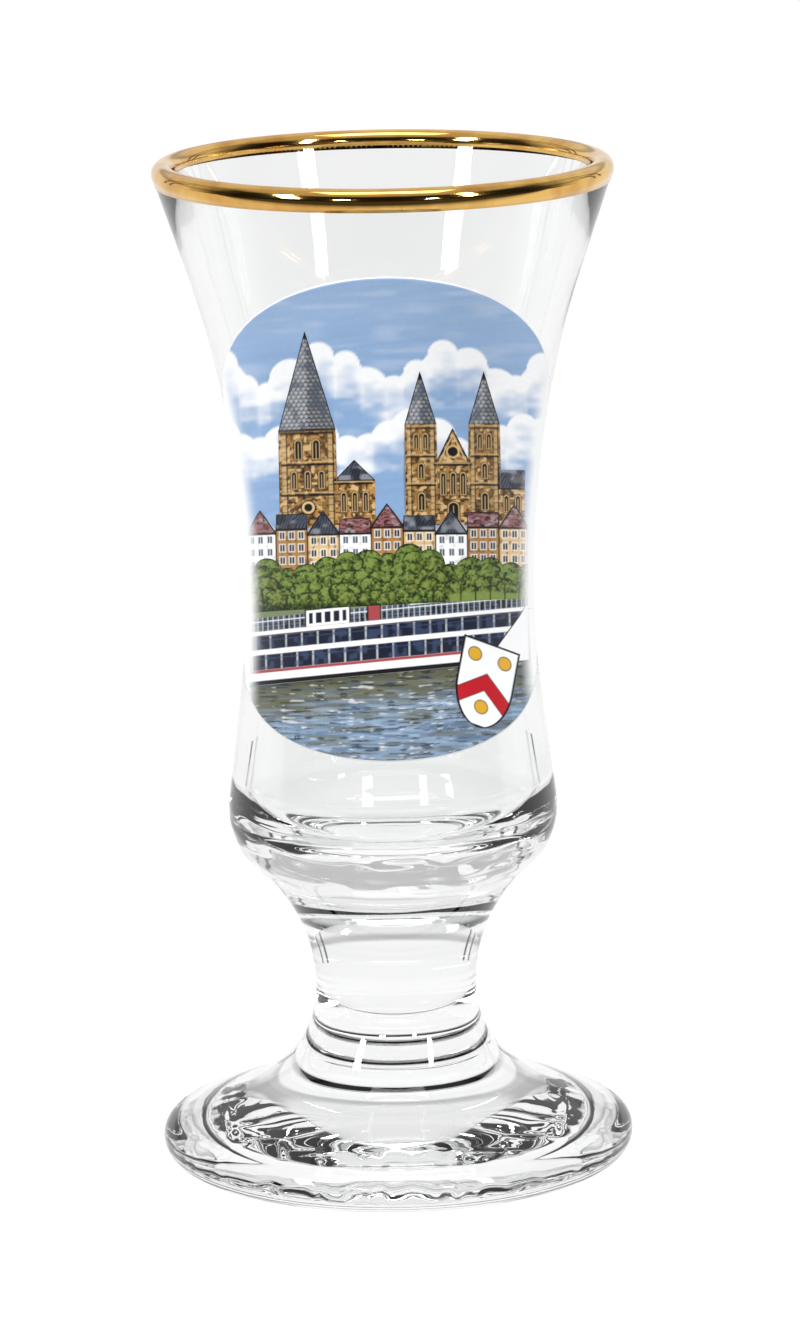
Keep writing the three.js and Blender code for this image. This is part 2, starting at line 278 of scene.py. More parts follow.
    def radius(self, z: Array) -> Array:
        """Outside radius of the bowl at a height, straight between the points of its skin."""
        return np.interp(z, self.skin[:, 1], self.skin[:, 0])


# ---- meshes --------------------------------------------------------------------------------
def make_mesh(name: str, points: Array, faces: Array,
              tints: Optional[Array] = None) -> bpy.types.Object:
    """Put a surface into a new object.

    Args:
        name: name of the piece.
        points: rows of x, y, z in millimetres.
        faces: rows of four corner numbers; a row whose last two are equal is a triangle.
        tints: linear colour of each point, stored as the attribute "tint".

    Returns:
        The object, smooth shaded, standing at the origin.
    """
    mesh = bpy.data.meshes.new(name)
    mesh.from_pydata((points * MM).tolist(), [], [
        f[:3] if f[2] == f[3] else f for f in faces.tolist()])
    mesh.polygons.foreach_set("use_smooth", np.ones(len(mesh.polygons), bool))
    if tints is not None:
        layer = mesh.color_attributes.new("tint", "FLOAT_COLOR", "POINT")
        full = np.ones((len(points), 4))
        full[:, :3] = tints
        layer.data.foreach_set("color", full.ravel())
    mesh.update()
    piece = bpy.data.objects.new(name, mesh)
    bpy.context.scene.collection.objects.link(piece)
    return piece


def revolve(profile: Array, segments: int, closed: bool,
            warp: Optional[Callable] = None) -> tuple[Array, Array]:
    """Turn a profile round +Z.

    A point (r, z) goes to (r cos t, r sin t, z) for each of the evenly spaced turns t. A profile
    that starts and ends on the axis gets one point at each pole; a closed one joins its ends.

    Args:
        profile: rows of r and z in millimetres, air on the right of the way along it.
        segments: number of turns.
        closed: whether the last point joins the first.
        warp: gives changed r and z, from arrays of r, z and t.

    Returns:
        Points and faces.
    """
    t = np.linspace(0, 2 * math.pi, segments, endpoint=False)
    ring = profile if closed else profile[1:-1]
    r = np.repeat(ring[:, :1], segments, axis=1)
    z = np.repeat(ring[:, 1:], segments, axis=1)
    turn = np.repeat(t[None, :], len(ring), axis=0)
    if warp is not None:
        r, z = warp(r, z, turn)
    points = np.stack([r * np.cos(turn), r * np.sin(turn), z], axis=-1).reshape(-1, 3)
    rows = len(ring)
    i = np.arange(rows if closed else rows - 1)[:, None]
    j = np.arange(segments)[None, :]
    a, b = i * segments + j, i * segments + (j + 1) % segments
    c, d = ((i + 1) % rows) * segments + (j + 1) % segments, ((i + 1) % rows) * segments + j
    faces = np.stack([a, b, c, d], axis=-1).reshape(-1, 4)
    if not closed:
        first, last = len(points), len(points) + 1
        points = np.vstack([points, [0, 0, profile[0, 1]], [0, 0, profile[-1, 1]]])
        k, k2 = np.arange(segments), (np.arange(segments) + 1) % segments
        top = (rows - 1) * segments
        low = np.stack([k2, k, np.full(segments, first), np.full(segments, first)], axis=1)
        high = np.stack([top + k, top + k2, np.full(segments, last), np.full(segments, last)], axis=1)
        faces = np.vstack([faces, low, high])
    return points, faces


# ---- finishes ------------------------------------------------------------------------------
def new_material(name: str) -> tuple[bpy.types.Material, bpy.types.Node]:
    """A material with one Principled shader; returns both."""
    material = bpy.data.materials.new(name)
    material.use_nodes = True
    return material, material.node_tree.nodes["Principled BSDF"]


def fill(node: bpy.types.Node, values: dict) -> None:
    """Set inputs of a node by name or number."""
    for name, value in values.items():
        node.inputs[name].default_value = value


def add_node(tree: bpy.types.NodeTree, kind: str, values: Optional[dict] = None) -> bpy.types.Node:
    """Put a node of a kind into a tree, with the values of some of its inputs."""
    node = tree.nodes.new(kind)
    fill(node, values or {})
    return node


def add_bump(material: bpy.types.Material, shader: bpy.types.Node, size: float,
             strength: float, height: float, detail: float = 2.0) -> None:
    """Give a shader a noise bump on object coordinates.

    Args:
        material: the material.
        shader: its Principled shader.
        size: size of one bump in millimetres.
        strength: strength of the bump.
        height: height of the bump in millimetres.
        detail: octaves of the noise.
    """
    tree, links = material.node_tree, material.node_tree.links
    place = add_node(tree, "ShaderNodeTexCoord")
    noise = add_node(tree, "ShaderNodeTexNoise", {"Scale": 1.0 / (size * MM), "Detail": detail})
    bump = add_node(tree, "ShaderNodeBump", {"Strength": strength, "Distance": height * MM})
    links.new(place.outputs["Object"], noise.inputs["Vector"])
    links.new(noise.outputs["Fac"], bump.inputs["Height"])
    links.new(bump.outputs["Normal"], shader.inputs["Normal"])


@dataclass(frozen=True)
class ClearGlass:
    """Clear pressed glass with a faint waviness."""

    tint: tuple[float, float, float] = (0.985, 0.992, 0.99)
    ior: float = 1.5
    wave: float = 9.0

    def make(self) -> bpy.types.Material:
        """Build the material."""
        material, shader = new_material("clear_glass")
        fill(shader, {"Base Color": (*self.tint, 1), "Transmission Weight": 1.0, "Roughness": 0.0,
                      "IOR": self.ior})
        add_bump(material, shader, self.wave, 0.25, 0.12, 1.0)
        return material


@dataclass(frozen=True)
class GoldLustre:
    """Bright fired gold with faint brush marks and a warmer, browner tone where it is thin."""

    bright: tuple[float, float, float] = (0.84, 0.52, 0.15)
    thin: tuple[float, float, float] = (0.62, 0.31, 0.07)

    def make(self) -> bpy.types.Material:
        """Build the material."""
        material, shader = new_material("gold_lustre")
        tree, links = material.node_tree, material.node_tree.links
        place = add_node(tree, "ShaderNodeTexCoord")
        noise = add_node(tree, "ShaderNodeTexNoise", {"Scale": 220, "Detail": 3})
        ramp = add_node(tree, "ShaderNodeValToRGB")
        for stop, position, tone in zip(ramp.color_ramp.elements, (0.3, 0.6), (self.thin, self.bright)):
            stop.position, stop.color = position, (*tone, 1)
        links.new(place.outputs["Object"], noise.inputs["Vector"])
        links.new(noise.outputs["Fac"], ramp.inputs["Fac"])
        links.new(ramp.outputs["Color"], shader.inputs["Base Color"])
        fill(shader, {"Metallic": 1.0, "Roughness": 0.07})
        add_bump(material, shader, 2.5, 0.3, 0.05)
        return material


@dataclass(frozen=True)
class FiredEnamel:
    """Fired enamel that takes its colour from the attribute "tint" of the piece."""

    name: str
    roughness: float = 0.42
    grain: float = 0.35

    def make(self) -> bpy.types.Material:
        """Build the material."""
        material, shader = new_material(self.name)
        tint = add_node(material.node_tree, "ShaderNodeAttribute")
        tint.attribute_name = "tint"
        material.node_tree.links.new(tint.outputs["Color"], shader.inputs["Base Color"])
        fill(shader, {"Roughness": self.roughness, "Specular IOR Level": 0.3})
        add_bump(material, shader, self.grain, 0.12, 0.02)
        return material


# ---- drawing -------------------------------------------------------------------------------
class Tone(Enum):
    """The enamel colours of the picture, as linear light."""

    WHITE = tuple(linear(249, 250, 251))
    CLOUD_SHADE = tuple(linear(178, 198, 226))
    SKY_HIGH = tuple(linear(152, 180, 216))
    SKY_LOW = tuple(linear(138, 170, 210))
    STONE = tuple(linear(172, 128, 72))
    STONE_DARK = tuple(linear(92, 64, 34))
    STONE_PALE = tuple(linear(222, 188, 132))
    INK = tuple(linear(14, 12, 14))
    BROWN_INK = tuple(linear(54, 38, 24))
    SLATE = tuple(linear(72, 80, 96))
    SLATE_PALE = tuple(linear(184, 188, 194))
    TILE = tuple(linear(146, 96, 96))
    TILE_DARK = tuple(linear(92, 52, 60))
    LEAF = tuple(linear(86, 108, 40))
    LEAF_PALE = tuple(linear(128, 150, 74))
    LEAF_DARK = tuple(linear(26, 40, 14))
    LEAF_BROWN = tuple(linear(110, 84, 34))
    NAVY = tuple(linear(22, 28, 48))
    NAVY_PALE = tuple(linear(60, 76, 108))
    HULL = tuple(linear(246, 246, 248))
    RED = tuple(linear(190, 16, 32))
    DULL_RED = tuple(linear(164, 70, 74))
    GOLD = tuple(linear(222, 170, 46))
    WATER = tuple(linear(126, 148, 172))
    WATER_PALE = tuple(linear(160, 184, 212))
    WATER_DARK = tuple(linear(74, 96, 124))
    WATER_OLIVE = tuple(linear(98, 98, 72))


class Paint:
    """Colour on a grid of points of the picture, laid on coat by coat.

    u runs to the right and v up, in millimetres. A shape is a signed distance: below 0 inside.
    """

    def __init__(self, u: Array, v: Array, ground: Tone) -> None:
        """Start with one ground colour."""
        self.u, self.v = u, v
        self.rgb = np.empty(u.shape + (3,))
        self.rgb[:] = ground.value

    def lay(self, distance: Array, tone: Tone, strength: float | Array = 1.0,
            soft: float = 0.09) -> None:
        """Cover the inside of a shape with a tone, with an edge that is soft mm wide."""
        cover = np.clip(0.5 - distance / soft, 0, 1) * strength
        self.rgb += (np.array(tone.value) - self.rgb) * cover[..., None]

    def wash(self, tone: Tone, strength: Array) -> None:
        """Blend the whole grid towards a tone by a strength of 0 to 1."""
        self.rgb += (np.array(tone.value) - self.rgb) * strength[..., None]

    def spots(self, width: float, height: float, seed: int) -> Array:
        """Soft random patches of a width and height, as values from 0 to 1."""
        return mottle(self.u / width + 11, self.v / height + 7, seed)

    def fleck(self, level: float, width: float, height: float, seed: int, tone: Tone,
              strength: float | Array, soft: float, within: Optional[Array] = None) -> None:
        """Lay a tone where soft random patches rise above a level.

        Args:
            level: level from 0 to 1; the higher it is, the fewer flecks.
            width: width of a patch.
            height: height of a patch.
            seed: which patches.
            tone: colour of the flecks.
            strength: how far it covers.
            soft: width of the soft edge, as a share of the level.
            within: shape that the flecks stay inside.
        """
        shape = level - self.spots(width, height, seed)
        self.lay(shape if within is None else np.maximum(within, shape), tone, strength, soft)

    def box(self, u0: float, u1: float, v0: float, v1: float) -> Array:
        """Distance to an upright rectangle."""
        return np.maximum(np.abs(self.u - (u0 + u1) / 2) - (u1 - u0) / 2,
                          np.abs(self.v - (v0 + v1) / 2) - (v1 - v0) / 2)

    def tent(self, u0: float, u1: float, v0: float, v1: float) -> Array:
        """Distance to a triangle standing on its base."""
        half, rise = (u1 - u0) / 2, v1 - v0
        lean = rise / math.hypot(half, rise)
        sides = (np.abs(self.u - (u0 + u1) / 2) - half * (v1 - self.v) / rise) * lean
        return np.maximum(sides, v0 - self.v)

    def disc(self, u: float, v: float, r: float) -> Array:
        """Distance to a round spot."""
        return np.hypot(self.u - u, self.v - v) - r

    def stroke(self, u0: float, v0: float, u1: float, v1: float, width: float) -> Array:
        """Distance to a straight pen stroke."""
        du, dv = u1 - u0, v1 - v0
        t = np.clip(((self.u - u0) * du + (self.v - v0) * dv) / (du * du + dv * dv), 0, 1)
        return np.hypot(self.u - u0 - t * du, self.v - v0 - t * dv) - width / 2

    def arch(self, u: float, v0: float, v1: float, width: float) -> Array:
        """Distance to a round-headed window."""
        r = width / 2
        return np.minimum(self.box(u - r, u + r, v0, v1 - r), self.disc(u, v1 - r, r))

    def edge(self, distance: Array, width: float, tone: Tone = Tone.INK, strength: float = 1.0) -> None:
        """Draw a pen line along the edge of a shape."""
        self.lay(np.abs(distance) - width / 2, tone, strength)

    def grain(self, size: float, amount: float, seed: int) -> None:
        """Lighten and darken in small patches, like pigment in the enamel."""
        patches = mottle(self.u / size + 7, self.v / size + 7, seed)
        self.rgb *= 1 + amount * (patches[..., None] - 0.5) * 2

    def pillar(self, u: float, top: float, width: float) -> None:
        """A pale upright of stones with level joints and a dark line down its right side."""
        half, foot, course, joint = width / 2, 69.0, 0.7, 0.08
        self.lay(self.box(u - half, u + half, foot, top), Tone.STONE_PALE, 0.6)
        self.lay(self.stroke(u + half, foot, u + half, top, 0.12), Tone.INK, 0.9)
        for level in np.arange(foot + 1, 80, course):
            self.lay(self.box(u - half, u + half, level, level + joint), Tone.BROWN_INK, 0.9)

    def ledge(self, u0: float, u1: float, v: float, width: float) -> None:
        """A dark level line with a pale one on top."""
        self.lay(self.stroke(u0, v, u1, v, width), Tone.INK, 0.95)
        self.lay(self.stroke(u0, v + width, u1, v + width, 0.11), Tone.STONE_PALE, 0.8)


@dataclass
class Sheet:
    """The printed sheet and how it lies on the bowl."""

    outline: Outline
    mid: float = 70.8
    half_v: float = 25.2
    half_u: float = 27.5
    lean: float = math.tan(math.radians(12.1))
    lift: float = 0.012
    coat: float = 0.01

    def fold(self, reach: Array) -> Array:
        """Angle round the bowl for a sideways reach in radii: arc sine to 60 degrees, arc beyond."""
        limit = math.sin(math.pi / 3)
        s = np.abs(reach)
        near = np.arcsin(np.minimum(s, limit))
        return np.sign(reach) * (near + np.maximum(s - limit, 0) / math.cos(math.pi / 3))

    def lay(self, u: Array, v: Array, lift: float, flat: bool) -> Array:
        """Points on the bowl for points of the sheet.

        The height drops by r (1 - cos a) times the lean, so level lines of the sheet look level
        from in front and a little above, and the angle a comes from u / r.
        """
        z = v.copy()
        a = np.zeros_like(u)
        for _ in range(6):
            r = self.outline.radius(z)
            a = self.fold(u / r) if flat else u / r
            z = v - r * (1 - np.cos(a)) * self.lean
        r = self.outline.radius(z) + lift
        return np.stack([r * np.sin(a), -r * np.cos(a), z], axis=-1)

    def flatten(self, u: Array, v: Array) -> Array:
        """The drawn u of a point whose u is measured along the arc of the bowl."""
        r = self.outline.radius(v - 2.0)
        a = u / r
        turn, limit = math.pi / 3, math.sin(math.pi / 3)
        far = limit + (np.abs(a) - turn) * math.cos(turn)
        return r * np.where(np.abs(a) < turn, np.sin(a), np.sign(a) * far)

    def coat_piece(self, name: str, places: Array, low: Array, high: Array, rows: int, level: int,
                   paint: Callable[[Array, Array], Array], flat: bool = True) -> bpy.types.Object:
        """A thin closed coat between a lower and an upper edge, coloured point by point.

        Args:
            name: name of the piece.
            places: u of each column.
            low: v of the lower edge at each column.
            high: v of the upper edge at each column.
            rows: number of steps up each column.
            level: how many coats lie under this one.
            paint: gives linear colours for arrays of drawn u and v.
            flat: whether u is drawn flat, not measured along the arc.

        Returns:
            The piece.
        """
        t = np.linspace(0, 1, rows + 1)[None, :]
        u = np.repeat(places[:, None], rows + 1, axis=1)
        v = low[:, None] * (1 - t) + high[:, None] * t
        return self.patch(name, u, v, level, paint, flat)

    def patch(self, name: str, u: Array, v: Array, level: int, paint: Callable[[Array, Array], Array],
              flat: bool = True) -> bpy.types.Object:
        """A thin closed coat over any grid of sheet points, u growing by column and v by row, its
        colours blended to white towards the sides of the bowl as painted glare.
        """
        wide, tall = u.shape
        rows = tall - 1
        base = self.lift + level * (self.coat + 0.004)
        skins = [self.lay(u, v, base + k * self.coat, flat).reshape(-1, 3) for k in (0, 1)]
        drawn = u if flat else self.flatten(u, v)
        # Painted glare: towards the sides of the bowl every coat's colours are blended to white,
        # standing in for the glare the curved glass shows there.
        painted_side_glare = smooth(0.86, 1.0, np.abs(drawn) / self.outline.radius(v - 2.0))[..., None]
        tints = paint(drawn, v)
        tints = (tints + (np.array(Tone.WHITE.value) - tints) * painted_side_glare).reshape(-1, 3)
        n = wide * tall
        i, j = np.meshgrid(np.arange(wide - 1), np.arange(rows), indexing="ij")
        a, b = i * tall + j, (i + 1) * tall + j
        front = np.stack([a, b, b + 1, a + 1], -1).reshape(-1, 4) + n
        back = np.stack([a, a + 1, b + 1, b], -1).reshape(-1, 4)
        c = np.arange(wide - 1) * tall
        d, e = c + tall, np.arange(rows)
        bottom = np.stack([c, d, d + n, c + n], -1)
        top = np.stack([c + rows, c + rows + n, d + rows + n, d + rows], -1)
        left = np.stack([e, e + n, e + 1 + n, e + 1], -1)
        f = e + (wide - 1) * tall
        right = np.stack([f, f + 1, f + 1 + n, f + n], -1)
        faces = np.vstack([front, back, bottom, top, left, right])
        return make_mesh(name, np.vstack(skins), faces, np.vstack([tints, tints]))


def spans(start: float, end: float, count: int) -> Array:
    """Evenly spaced places from one end to the other."""
    return np.linspace(start, end, count + 1)


# ---- the picture ---------------------------------------------------------------------------
@dataclass
class Picture:
    """The printed harbour town, coat by coat, each dressed in fired enamel."""

    sheet: Sheet
    border: float = 0.14
    horizon: float = 61.0
    wall_foot: float = 69.8
    town_from: float = -14.6
    town_to: float = 14.4
    house_count: int = 9
    crown_count: int = 15
    crown_pitch: float = 2.06
    hedge: float = 64.0
    deck: float = 61.6
    deck_slope: float = 0.036
    hull_foot: float = 54.6
    hull_slope: float = 0.08

    def half_height(self, u: Array, inset: float) -> Array:
        """Half height of the oval at u, which is an ellipse with blunt ends."""
        w, h = self.sheet.half_u - inset, self.sheet.half_v - inset
        return h * np.sqrt(np.maximum(1 - (u / w) ** 2, 0.0008))

    def add(self, piece: bpy.types.Object, node: str, slot: str, finish: FiredEnamel) -> None:
        """Dress a coat and put it on the glass in place of its CAD node."""
        piece.data.materials.append(finish.make())
        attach(piece, "root")
        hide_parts(node)
        LOG.info("%s: %d faces", piece.name, len(piece.data.polygons))

    # -- white and sky
    def underprint(self) -> None:
        """White base coat over the whole oval."""
        t = np.linspace(-math.pi / 2, math.pi / 2, 181)
        u = self.sheet.half_u * np.sin(t)
        h = self.half_height(u, 0)

        def paint(uu: Array, vv: Array) -> Array:
            p = Paint(uu, vv, Tone.WHITE)
            p.grain(0.8, 0.015, 3)
            return p.rgb

        piece = self.sheet.coat_piece("white_coat", u, self.sheet.mid - h, self.sheet.mid + h, 120, 0,
                                      paint, flat=False)
        self.add(piece, "white_underprint", "white_enamel", FiredEnamel("white_enamel", 0.3))

    @staticmethod
    def cloud_banks() -> list[tuple[list[tuple[float, float, float]], float]]:
        """Puffs (u, v, radius) of two invented banks of cloud, with the depth over which each fades."""
        rng = np.random.default_rng(17)
        banks = []
        for base, swell, pitch, fade in ((85.6, 2.2, 2.5, 6.0), (78.6, 1.2, 2.2, 5.4)):
            puffs = []
            for k, place in enumerate(np.arange(-19.5, 20, pitch)):
                r = 1.3 + 1.2 * rng.random()
                middle = float(place + 0.5 * rng.random())
                puffs.append((middle, base + swell * math.sin(1.3 * k + 1), r))
            banks.append((puffs, fade))
        return banks

    def paint_sky(self, u: Array, v: Array) -> Array:
        """Blue sky with banks of cumulus: crisp white crests that fade into the blue below."""
        p = Paint(u, v, Tone.SKY_LOW)
        p.wash(Tone.SKY_HIGH, smooth(83, 94, v + 1.5 * (p.spots(3, 1.2, 11) - 0.5)))
        p.rgb *= 1 + 0.09 * (mottle(u / 4 + 20, (v - 0.12 * u) / 0.32 + 20, 12)[..., None] - 0.5)
        for puffs, fade in self.cloud_banks():
            crest = np.full(u.shape, 60.0)
            for cu, cv, r in puffs:
                away = np.abs(u - cu)
                crest = np.maximum(crest, cv + np.sqrt(np.maximum(r * r - away**2, 0))
                                   - 1.3 * np.maximum(away - r, 0))
            depth = crest - v
            ragged = depth + 3.4 * (p.spots(2.6, 1.1, 21) - 0.5) + 1.4 * (p.spots(0.9, 0.5, 22) - 0.5)
            body = 1 - smooth(1.6, fade, ragged)
            p.lay(-depth, Tone.WHITE, 0.98 * body, soft=0.22)
            for cu, cv, r in puffs:
                fold = p.disc(cu + 0.35 * r, cv - 0.5 * r, 0.34 * r)
                p.lay(np.maximum(fold, 0.6 - depth), Tone.CLOUD_SHADE, 0.42, soft=1.1)
        p.wash(Tone.WHITE, 0.14 * smooth(0.5, 0.95, p.spots(3.5, 0.6, 23)))
        p.grain(0.25, 0.025, 5)
        return p.rgb

    def shore(self) -> float:
        """Half width of the oval at the bank of the river."""
        share = (self.sheet.mid - self.horizon) / (self.sheet.half_v - self.border)
        return (self.sheet.half_u - self.border) * math.sqrt(1 - share**2)

    def sky(self) -> None:
        """Sky coat from the bank of the river up."""
        reach = self.shore()
        u = spans(-reach, reach, 264)
        low = np.full_like(u, self.horizon)
        high = self.sheet.mid + self.half_height(u, self.border)
        piece = self.sheet.coat_piece("sky_coat", u, low, high, 184, 1, self.paint_sky, flat=False)
        self.add(piece, "sky_print", "sky_enamel", FiredEnamel("sky_enamel"))

    def paint_river(self, u: Array, v: Array) -> Array:
        """Grey-blue water, olive near the boat, with level pen dashes."""
        p = Paint(u, v, Tone.WATER)
        w = v - 0.085 * u
        p.wash(Tone.WATER_OLIVE, 0.95 * smooth(49.6, 53.2, w + 1.4 * (p.spots(4, 0.5, 30) - 0.5)))
        p.rgb *= 1 + 0.34 * (p.spots(3.4, 0.42, 31)[..., None] - 0.5)
        p.fleck(0.60, 1.6, 0.22, 32, Tone.WATER_PALE, 0.5 * smooth(54.5, 50.5, w), 0.2)
        p.fleck(0.62, 1.8, 0.24, 35, Tone.WATER_DARK, 0.6, 0.2)
        p.fleck(0.70, 2.6, 0.30, 36, Tone.WATER_OLIVE, 0.6, 0.2)
        p.fleck(0.72, 1.2, 0.12, 33, Tone.INK, 0.7, 0.10)
        p.fleck(0.86, 1.0, 0.13, 34, Tone.WHITE, 0.5, 0.10)
        p.lay(54.0 - w, Tone.LEAF_DARK, 0.35, soft=0.8)
        return p.rgb

    def river(self) -> None:
        """Water coat from the bank down."""
        reach = self.shore()
        u = spans(-reach, reach, 316)
        low = self.sheet.mid - self.half_height(u, self.border)
        high = np.full_like(u, self.horizon)
        piece = self.sheet.coat_piece("river_coat", u, low, high, 152, 1, self.paint_river, flat=False)
        self.add(piece, "river_print", "river_enamel", FiredEnamel("river_enamel"))

    # -- churches
    @staticmethod
    def skyline(u: Array, shapes: list[tuple[float, ...]], floor: float) -> Array:
        """Height of a skyline of blocks (from, to, top) and pointed roofs (from, to, eaves, tip)."""
        top = np.full_like(u, floor)
        for shape in shapes:
            u0, u1, eaves = shape[:3]
            tip = shape[3] if len(shape) > 3 else eaves
            half = (u1 - u0) / 2
            inside = np.abs(u - (u0 + u1) / 2) <= half
            rise = eaves + (tip - eaves) * (1 - np.abs(u - (u0 + u1) / 2) / half)
            top = np.maximum(top, np.where(inside, rise, floor))
        return top

    @staticmethod
    def windows(p: Paint, places: Array, low: float, high: float, width: float) -> None:
        """A row of round-headed windows in pale frames."""
        for x in places:
            p.lay(p.arch(x, low - 0.1, high + 0.1, width + 0.24), Tone.STONE_PALE)
            p.edge(p.arch(x, low - 0.1, high + 0.1, width + 0.24), 0.09, Tone.BROWN_INK)
            p.lay(p.arch(x, low, high - 0.05, width), Tone.INK)
            p.lay(p.stroke(x, low, x, high - 0.4, 0.07), Tone.STONE_PALE, 0.9)

    def spire(self, p: Paint, u0: float, u1: float, eaves: float, tip: float) -> None:
        """A pointed slate roof, darker on its right side, with rows of tiles and a knob."""
        mid, shape = (u0 + u1) / 2, p.tent(u0, u1, eaves, tip)
        p.lay(shape, Tone.SLATE_PALE)
        row = np.floor(p.v / 0.42)
        du = ((p.u / 0.5 + 0.5 * (row % 2)) % 1 - 0.5) * 0.5
        dv = (p.v / 0.42 % 1 - 1.0) * 0.42
        p.lay(np.maximum(shape, np.abs(np.hypot(du, dv) - 0.26) - 0.075), Tone.INK, 0.9, soft=0.08)
        p.lay(np.maximum(shape, mid + 0.1 - p.u), Tone.INK, 0.5, soft=0.4)
        p.fleck(0.6, 0.7, 0.7, 44, Tone.SLATE, 0.7, 0.3, shape)
        p.edge(shape, 0.18)
        p.lay(np.maximum(tip - 0.9 - p.v, np.abs(p.u - mid) - 0.4), Tone.INK)

    def spires(self, p: Paint, widths: tuple[tuple[float, float], ...], eaves: float,
               tip: float) -> None:
        """Roof every tower of a church, and leave its walls below the eaves alone."""
        roof = Paint(p.u, p.v, Tone.SLATE_PALE)
        for left, right in widths:
            self.spire(roof, left, right, eaves, tip)
        above = p.v > eaves
        p.rgb[above] = roof.rgb[above]

    def paint_tower_church(self, u: Array, v: Array) -> Array:
        """Plain church: a square tower with a tall tiled spire, and a low nave on its right."""
        p = Paint(u, v, Tone.STONE)
        p.grain(0.9, 0.25, 41)
        self.carve(p, 42)
        p.lay(p.box(-6.6, -5.3, 60, 80), Tone.STONE_DARK, 0.45)
        for x in (-10.35, -5.65):
            p.pillar(x, 80, 0.5)
        for level in (79.7, 76.4, 73.2):
            p.ledge(-10.6, -5.4, level, 0.26)
        self.windows(p, np.array([-8.9, -7.1]), 77.0, 79.0, 0.62)
        self.windows(p, np.array([-9.4, -8.0, -6.6]), 73.9, 75.7, 0.46)
        p.lay(p.disc(-8, 71.9, 0.72), Tone.STONE_PALE)
        p.edge(p.disc(-8, 71.9, 0.72), 0.14)
        p.lay(p.disc(-8, 71.9, 0.42), Tone.INK)
        self.slates(p, np.maximum(p.tent(-5.4, -1.2, 74.6, 76.8), -5.4 - u), Tone.SLATE, 46)
        self.windows(p, np.array([-4.4, -3.3, -2.2]), 71.4, 73.4, 0.44)
        p.ledge(-5.3, -1.5, 74.3, 0.2)
        self.spires(p, ((-10.9, -5.1),), 80, 90.5)
        p.lay(np.maximum(np.abs(v - 80.05) - 0.13, u + 5.0), Tone.INK)
        return p.rgb

    def tower_church(self) -> None:
        """Church with one spire, on the left."""
        shapes = [(-10.6, -5.4, 80), (-10.9, -5.1, 80, 90.5), (-5.4, -1.6, 74.6),
                  (-5.4, -1.2, 74.6, 76.8)]
        u = spans(-10.95, -1.25, 168)
        piece = self.sheet.coat_piece("tower_church", u, np.full_like(u, self.wall_foot),
                                      self.skyline(u, shapes, self.wall_foot + 0.4),
                                      276, 2, self.paint_tower_church)
        self.add(piece, "tower_church_print", "stone_enamel", FiredEnamel("stone_enamel"))

    @staticmethod
    def carve(p: Paint, seed: int) -> None:
        """Fill a wall with fine pen work, as on weathered stone."""
        p.fleck(0.60, 0.5, 0.6, seed, Tone.STONE_DARK, 0.7, 0.2)
        p.fleck(0.66, 0.30, 0.34, seed + 1, Tone.BROWN_INK, 0.85, 0.12)
        p.fleck(0.66, 0.34, 0.30, seed + 2, Tone.STONE_PALE, 0.85, 0.12)
        p.fleck(0.74, 0.42, 0.24, seed + 3, Tone.INK, 0.8, 0.10)

    def paint_twin_church(self, u: Array, v: Array) -> Array:
        """Broad plain church: two square towers under slate spires, a gable between, a nave behind."""
        p = Paint(u, v, Tone.STONE)
        p.grain(1.3, 0.25, 51)
        self.carve(p, 53)
        for left in (2.0, 8.4):
            p.lay(p.box(left + 1.9, left + 2.8, 60, 80.4), Tone.STONE_DARK, 0.5)
            for x in (left + 0.22, left + 2.58):
                p.pillar(x, 80.4, 0.4)
            for level in (80.0, 77.0, 74.0):
                p.ledge(left, left + 2.8, level, 0.22)
            self.windows(p, np.array([left + 0.95, left + 1.85]), 77.8, 79.4, 0.42)
            self.windows(p, np.array([left + 1.4]), 74.7, 76.3, 0.5)
            self.windows(p, np.array([left + 1.4]), 71.4, 73.2, 0.6)
        gable = p.tent(4.8, 8.4, 76.2, 80)
        p.edge(gable, 0.26)
        p.edge(gable + 0.3, 0.1, Tone.STONE_PALE)
        p.ledge(4.8, 8.4, 76.1, 0.2)
        p.lay(p.disc(6.6, 77.5, 0.5), Tone.INK)
        p.edge(p.disc(6.6, 77.5, 0.6), 0.14, Tone.STONE_PALE)
        self.windows(p, np.array([5.6, 6.6, 7.6]), 73.0, 75.3, 0.46)
        self.windows(p, np.array([6.6]), 69.6, 72.2, 1.0)
        self.slates(p, np.maximum(p.box(11.2, 14.2, 73.6, 75.8), 11.2 - u), Tone.SLATE, 57)
        self.windows(p, np.array([12.0, 13.2]), 71.2, 72.9, 0.44)
        self.spires(p, ((1.8, 5.0), (8.2, 11.4)), 80.4, 86.0)
        return p.rgb

    def twin_church(self) -> None:
        """Church with two towers, on the right."""
        shapes = [(2.0, 4.8, 80.4), (1.8, 5.0, 80.4, 86), (4.8, 8.4, 76.2, 80), (8.4, 11.2, 80.4),
                  (8.2, 11.4, 80.4, 86), (11.2, 14.0, 75.6)]
        u = spans(1.75, 14.0, 216)
        piece = self.sheet.coat_piece("twin_church", u, np.full_like(u, self.wall_foot),
                                      self.skyline(u, shapes, self.wall_foot + 0.4),
                                      220, 2, self.paint_twin_church)
        self.add(piece, "twin_spire_church_print", "stone_enamel", FiredEnamel("carved_stone_enamel"))

    # -- houses, trees, boat
    def tree_top(self, u: Array) -> Array:
        """Upper edge of the trees: rounded crowns, taller in the middle, over a low hedge."""
        top = np.full_like(u, self.hedge)
        for k in range(self.crown_count):
            middle = (k - self.crown_count // 2) * self.crown_pitch
            radius = 1.4 + 0.3 * math.sin(2.4 * k)
            base = 64.6 + 1.6 * math.exp(-((middle / 6) ** 2)) + 0.5 * math.sin(1.7 * k)
            away = np.minimum(np.abs(u - middle) / radius, 1)
            top = np.maximum(top, np.where(away < 1, base + radius * np.sqrt(1 - away**2), self.hedge))
        return top

